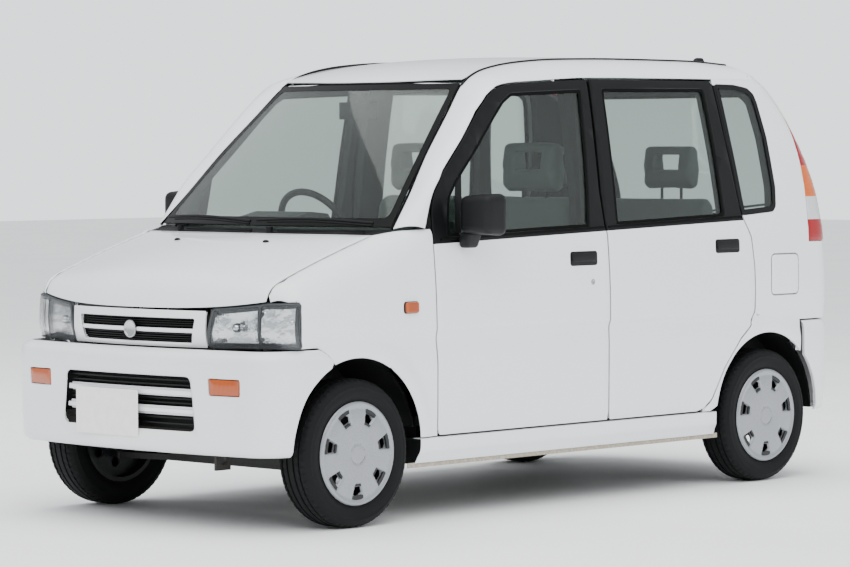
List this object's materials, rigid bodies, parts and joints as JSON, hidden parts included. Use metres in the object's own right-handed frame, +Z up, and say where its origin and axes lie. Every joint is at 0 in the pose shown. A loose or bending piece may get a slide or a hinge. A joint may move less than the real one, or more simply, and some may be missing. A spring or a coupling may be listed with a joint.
{
  "type": "kei car",
  "caption": "Small white four-door kei-class hatchback with a short bonnet, tall cabin, steered front wheels, opening doors, bonnet, side-hinged back door and fuel flap.",
  "frame": {"origin": "on the ground, midway between the bumpers and the two sides", "axes": "+Z up, +Y to the rear of the car, +X to the car's left"},
  "size_m": [1.739, 3.295, 1.68],
  "materials": {
    "white_paint": "gloss white paint",
    "tinted_glass": "clear, faintly green",
    "tyre_rubber": "matt black rubber",
    "wheel_silver": "silver-grey painted cover over a steel rim",
    "lamp_clear": "clear ribbed lens",
    "lamp_red": "red, amber and clear lens",
    "underside_paint": "satin grey underbody paint",
    "running_gear_steel": "black-painted steel",
    "black_plastic": "grained black",
    "trim_plastic": "grained dark grey-green",
    "seat_cloth": "woven grey cloth",
    "plate_white": "blank white plate"
  },
  "bodies": {
    "root": {"floor_pan": "underside_paint", "wheel_housings": "black_plastic", "front_suspension": "running_gear_steel", "rear_axle": "running_gear_steel", "engine": "underside_paint", "radiator": "underside_paint", "exhaust": "running_gear_steel", "fuel_tank": "underside_paint", "grille": "white_paint", "front_lamps": "lamp_clear", "front_bumper": "white_paint", "number_plates": "plate_white", "wings": "white_paint", "sills": "white_paint", "cowl": "black_plastic", "windscreen": "tinted_glass", "roof": "white_paint", "side_frames": "white_paint", "quarter_panels": "white_paint", "quarter_glass": "tinted_glass", "rear_lamps": "lamp_red", "rear_bumper": "white_paint", "dashboard": "trim_plastic", "front_seats": "seat_cloth", "rear_seat": "seat_cloth", "interior_mirror": "black_plastic"},
    "bonnet": {"bonnet": "white_paint"},
    "steering_wheel": {"steering_wheel": "black_plastic"},
    "knuckle_left": {"knuckle_left": "running_gear_steel"},
    "knuckle_right": {"knuckle_right": "running_gear_steel"},
    "front_wheel_left": {"front_wheel_left": "wheel_silver", "front_tyre_left": "tyre_rubber"},
    "front_wheel_right": {"front_wheel_right": "wheel_silver", "front_tyre_right": "tyre_rubber"},
    "rear_wheel_left": {"rear_wheel_left": "wheel_silver", "rear_tyre_left": "tyre_rubber"},
    "rear_wheel_right": {"rear_wheel_right": "wheel_silver", "rear_tyre_right": "tyre_rubber"},
    "front_door_left": {"front_door_left": "white_paint", "front_glass_left": "tinted_glass", "door_mirror_left": "black_plastic"},
    "front_door_right": {"front_door_right": "white_paint", "front_glass_right": "tinted_glass", "door_mirror_right": "black_plastic"},
    "rear_door_left": {"rear_door_left": "white_paint", "rear_glass_left": "tinted_glass"},
    "rear_door_right": {"rear_door_right": "white_paint", "rear_glass_right": "tinted_glass"},
    "back_door": {"back_door": "white_paint", "back_door_glass": "tinted_glass"},
    "fuel_flap": {"fuel_flap": "white_paint"}
  },
  "joints": [
    {"name": "steer_left", "type": "hinge", "parent": "root", "child": "knuckle_left", "pos_m": [0.562, -1.1605, 0.19], "axis": [-0.1722, 0, 0.9851], "range_deg": [-35, 35]},
    {"name": "steer_right", "type": "hinge", "parent": "root", "child": "knuckle_right", "pos_m": [-0.562, -1.1605, 0.19], "axis": [0.1722, 0, 0.9851], "range_deg": [-35, 35]},
    {"name": "steering_wheel_turn", "type": "hinge", "parent": "root", "child": "steering_wheel", "pos_m": [-0.33, -0.348, 1], "axis": [0, 0.8829, 0.4695], "range_deg": [-560, 560]},
    {"name": "front_wheel_spin_left", "type": "hinge", "parent": "knuckle_left", "child": "front_wheel_left", "pos_m": [0.617, -1.1605, 0.262], "axis": [1, 0, 0], "continuous": true},
    {"name": "front_wheel_spin_right", "type": "hinge", "parent": "knuckle_right", "child": "front_wheel_right", "pos_m": [-0.617, -1.1605, 0.262], "axis": [1, 0, 0], "continuous": true},
    {"name": "rear_wheel_spin_left", "type": "hinge", "parent": "root", "child": "rear_wheel_left", "pos_m": [0.617, 1.1395, 0.262], "axis": [1, 0, 0], "continuous": true},
    {"name": "rear_wheel_spin_right", "type": "hinge", "parent": "root", "child": "rear_wheel_right", "pos_m": [-0.617, 1.1395, 0.262], "axis": [1, 0, 0], "continuous": true},
    {"name": "front_door_hinge_left", "type": "hinge", "parent": "root", "child": "front_door_left", "pos_m": [0.6875, -0.722, 0.65], "axis": [0, 0, -1], "range_deg": [0, 65]},
    {"name": "front_door_hinge_right", "type": "hinge", "parent": "root", "child": "front_door_right", "pos_m": [-0.6875, -0.722, 0.65], "axis": [0, 0, 1], "range_deg": [0, 65]},
    {"name": "rear_door_hinge_left", "type": "hinge", "parent": "root", "child": "rear_door_left", "pos_m": [0.6875, 0.228, 0.65], "axis": [0, 0, -1], "range_deg": [0, 65]},
    {"name": "rear_door_hinge_right", "type": "hinge", "parent": "root", "child": "rear_door_right", "pos_m": [-0.6875, 0.228, 0.65], "axis": [0, 0, 1], "range_deg": [0, 65]},
    {"name": "bonnet_hinge", "type": "hinge", "parent": "root", "child": "bonnet", "pos_m": [0, -0.975, 1.022], "axis": [-1, 0, 0], "range_deg": [0, 60]},
    {"name": "back_door_hinge", "type": "hinge", "parent": "root", "child": "back_door", "pos_m": [-0.525, 1.59, 1], "axis": [0, 0, 1], "range_deg": [0, 85]},
    {"name": "fuel_flap_hinge", "type": "hinge", "parent": "root", "child": "fuel_flap", "pos_m": [0.692, 1.176, 0.818], "axis": [0, 0, -1], "range_deg": [0, 85]}
  ],
  "couplings": [
    {"joint": "steer_right", "follows": "steer_left", "ratio": 1},
    {"joint": "steering_wheel_turn", "follows": "steer_left", "ratio": 16}
  ]
}
